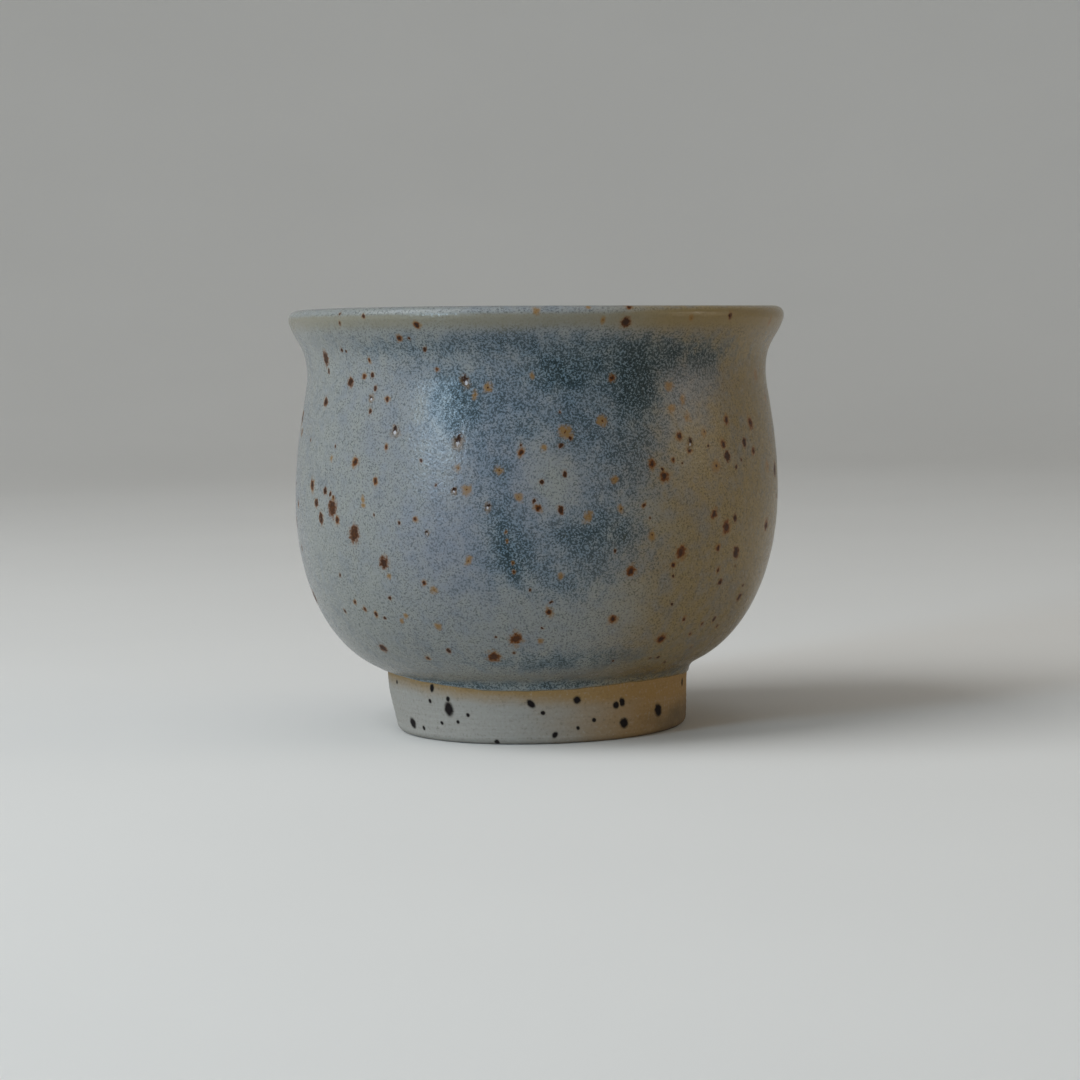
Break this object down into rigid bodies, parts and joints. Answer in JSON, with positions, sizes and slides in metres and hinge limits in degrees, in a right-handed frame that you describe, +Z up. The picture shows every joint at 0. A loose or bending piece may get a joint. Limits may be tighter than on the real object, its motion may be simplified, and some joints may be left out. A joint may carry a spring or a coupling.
{
  "type": "stoneware cup",
  "caption": "Hand-thrown stoneware cup with a soft belly, a flared lip, speckled satin glaze inside and out, and a bare turned foot ring to stand on.",
  "frame": {"origin": "centre of the foot ring's resting face", "axes": "+Z up along the turning axis, from the foot to the lip; the picture looks along +Y, with +X to the right"},
  "size_m": [0.0902, 0.0902, 0.0765],
  "materials": {
    "clay": "fired stoneware body, matte, sandy",
    "bare_clay": "bare fired stoneware, turned, toasted below the glaze line, with iron specks",
    "outer_glaze": "satin grey-green glaze with blue pooling and brown iron spots, ochre where it breaks at the lip",
    "liner_glaze": "satin lavender-grey glaze with brown iron spots"
  },
  "bodies": {
    "root": {"bowl": "clay", "foot_ring": "bare_clay", "outer_glaze": "outer_glaze", "liner_glaze": "liner_glaze"}
  },
  "joints": []
}
